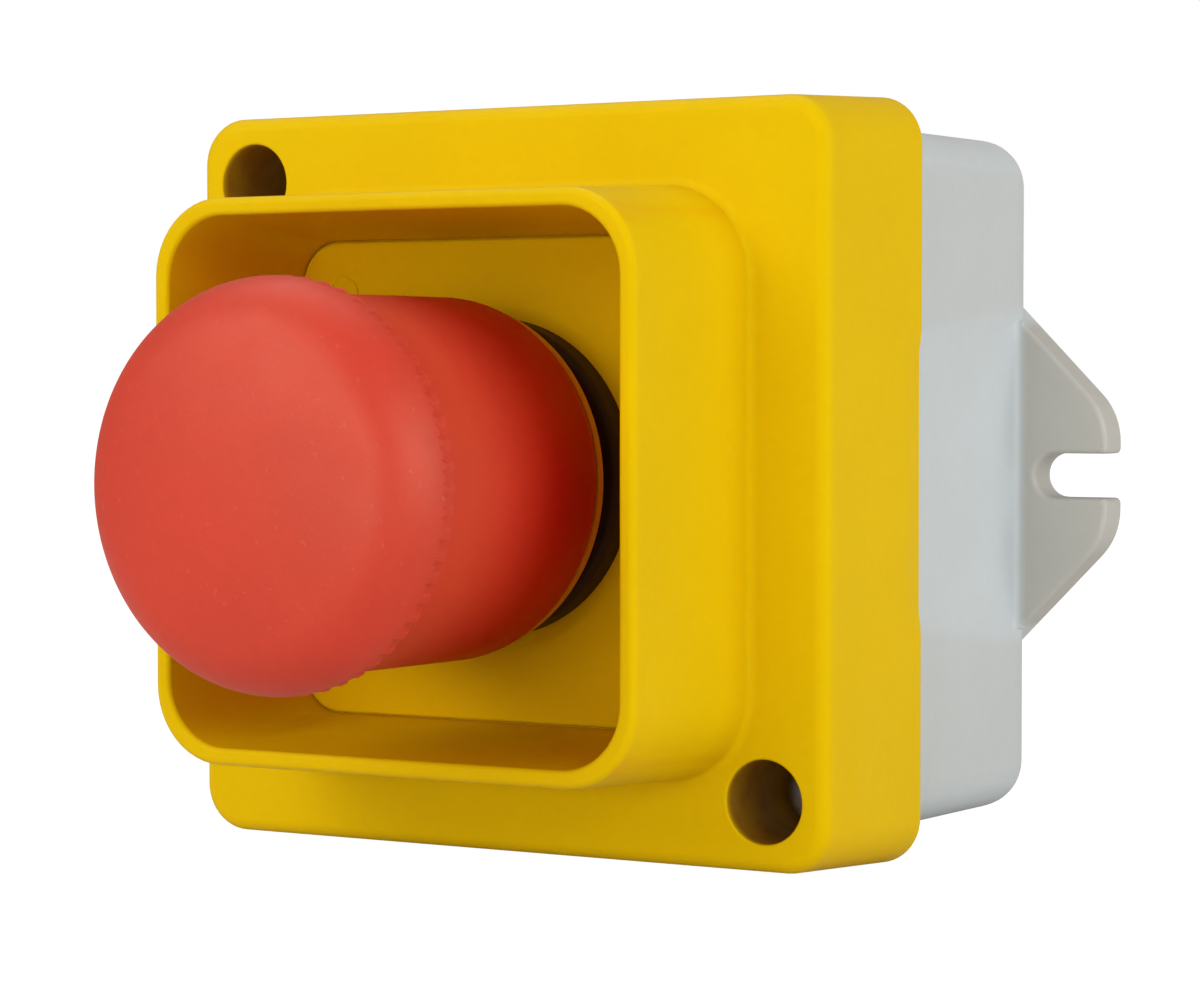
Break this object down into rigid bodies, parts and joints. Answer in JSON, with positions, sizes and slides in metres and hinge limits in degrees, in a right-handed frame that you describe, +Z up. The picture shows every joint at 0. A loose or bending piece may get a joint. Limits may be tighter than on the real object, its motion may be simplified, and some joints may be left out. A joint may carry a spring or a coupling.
{
  "type": "emergency stop button station",
  "caption": "Red mushroom emergency stop head in a square guard collar on a yellow cover over a grey wall box with a slotted lug at each side.",
  "frame": {"origin": "centre of the flat back face of the grey box, on the wall plane", "axes": "+Z up, +X to the right of the user who faces the button, -Y out of the wall towards the user, so pressing the head moves it along +Y"},
  "size_m": [0.089, 0.0944, 0.075],
  "materials": {
    "grey_plastic": "fine satin moulding",
    "yellow_plastic": "satin moulding",
    "red_plastic": "fine matte grain",
    "red_plastic_neck": "satin moulding",
    "orange_plastic": "satin moulding",
    "black_plastic": "satin moulding",
    "dark_grey_plastic": "matte moulding",
    "green_plastic": "satin moulding",
    "black_rubber": "matte rubber",
    "zinc_steel": "bright zinc plate",
    "spring_steel": "drawn wire",
    "brass": "machined"
  },
  "bodies": {
    "enclosure": {"rear_base": "grey_plastic", "front_cover": "yellow_plastic", "cover_gasket": "black_rubber", "cover_screw_upper_left": "zinc_steel", "cover_screw_lower_right": "zinc_steel", "thread_insert_upper_left": "brass", "thread_insert_lower_right": "brass", "actuator_body": "black_plastic", "bezel_seal": "black_rubber", "stem_seal": "black_rubber", "ring_nut": "dark_grey_plastic", "contact_carrier": "dark_grey_plastic", "carrier_lock_screw": "zinc_steel", "return_spring": "spring_steel", "contact_block_left": "dark_grey_plastic", "block_cover_left": "dark_grey_plastic", "contact_spring_left": "spring_steel", "fixed_contact_left_top": "brass", "terminal_screw_left_top": "zinc_steel", "fixed_contact_left_bottom": "brass", "terminal_screw_left_bottom": "zinc_steel", "contact_block_right": "dark_grey_plastic", "block_cover_right": "dark_grey_plastic", "contact_spring_right": "spring_steel", "fixed_contact_right_top": "brass", "terminal_screw_right_top": "zinc_steel", "fixed_contact_right_bottom": "brass", "terminal_screw_right_bottom": "zinc_steel"},
    "button": {"push_stem": "black_plastic", "stem_clip": "spring_steel"},
    "head": {"neck_skirt": "red_plastic_neck", "indicator_ring": "orange_plastic", "mushroom_cap": "red_plastic"},
    "contact_left": {"plunger_left": "green_plastic", "contact_bridge_left": "brass"},
    "contact_right": {"plunger_right": "green_plastic", "contact_bridge_right": "brass"}
  },
  "joints": [
    {"name": "button_push", "type": "slide", "parent": "enclosure", "child": "button", "axis": [0, 1, 0], "range_m": [0, 0.0045], "stiffness_N_per_m": 2500, "springref_m": -0.0055, "deforming": ["return_spring"]},
    {"name": "head_twist", "type": "hinge", "parent": "button", "child": "head", "pos_m": [0, 0, 0.00035], "axis": [0, 1, 0], "range_deg": [0, 45], "stiffness_Nm_per_rad": 0.25, "springref_deg": -11.46},
    {"name": "plunger_left_slide", "type": "slide", "parent": "enclosure", "child": "contact_left", "axis": [0, 1, 0], "range_m": [0, 0.0045], "deforming": ["contact_spring_left"]},
    {"name": "plunger_right_slide", "type": "slide", "parent": "enclosure", "child": "contact_right", "axis": [0, 1, 0], "range_m": [0, 0.0045], "deforming": ["contact_spring_right"]}
  ],
  "couplings": [
    {"joint": "plunger_left_slide", "follows": "button_push", "ratio": 1},
    {"joint": "plunger_right_slide", "follows": "button_push", "ratio": 1}
  ]
}
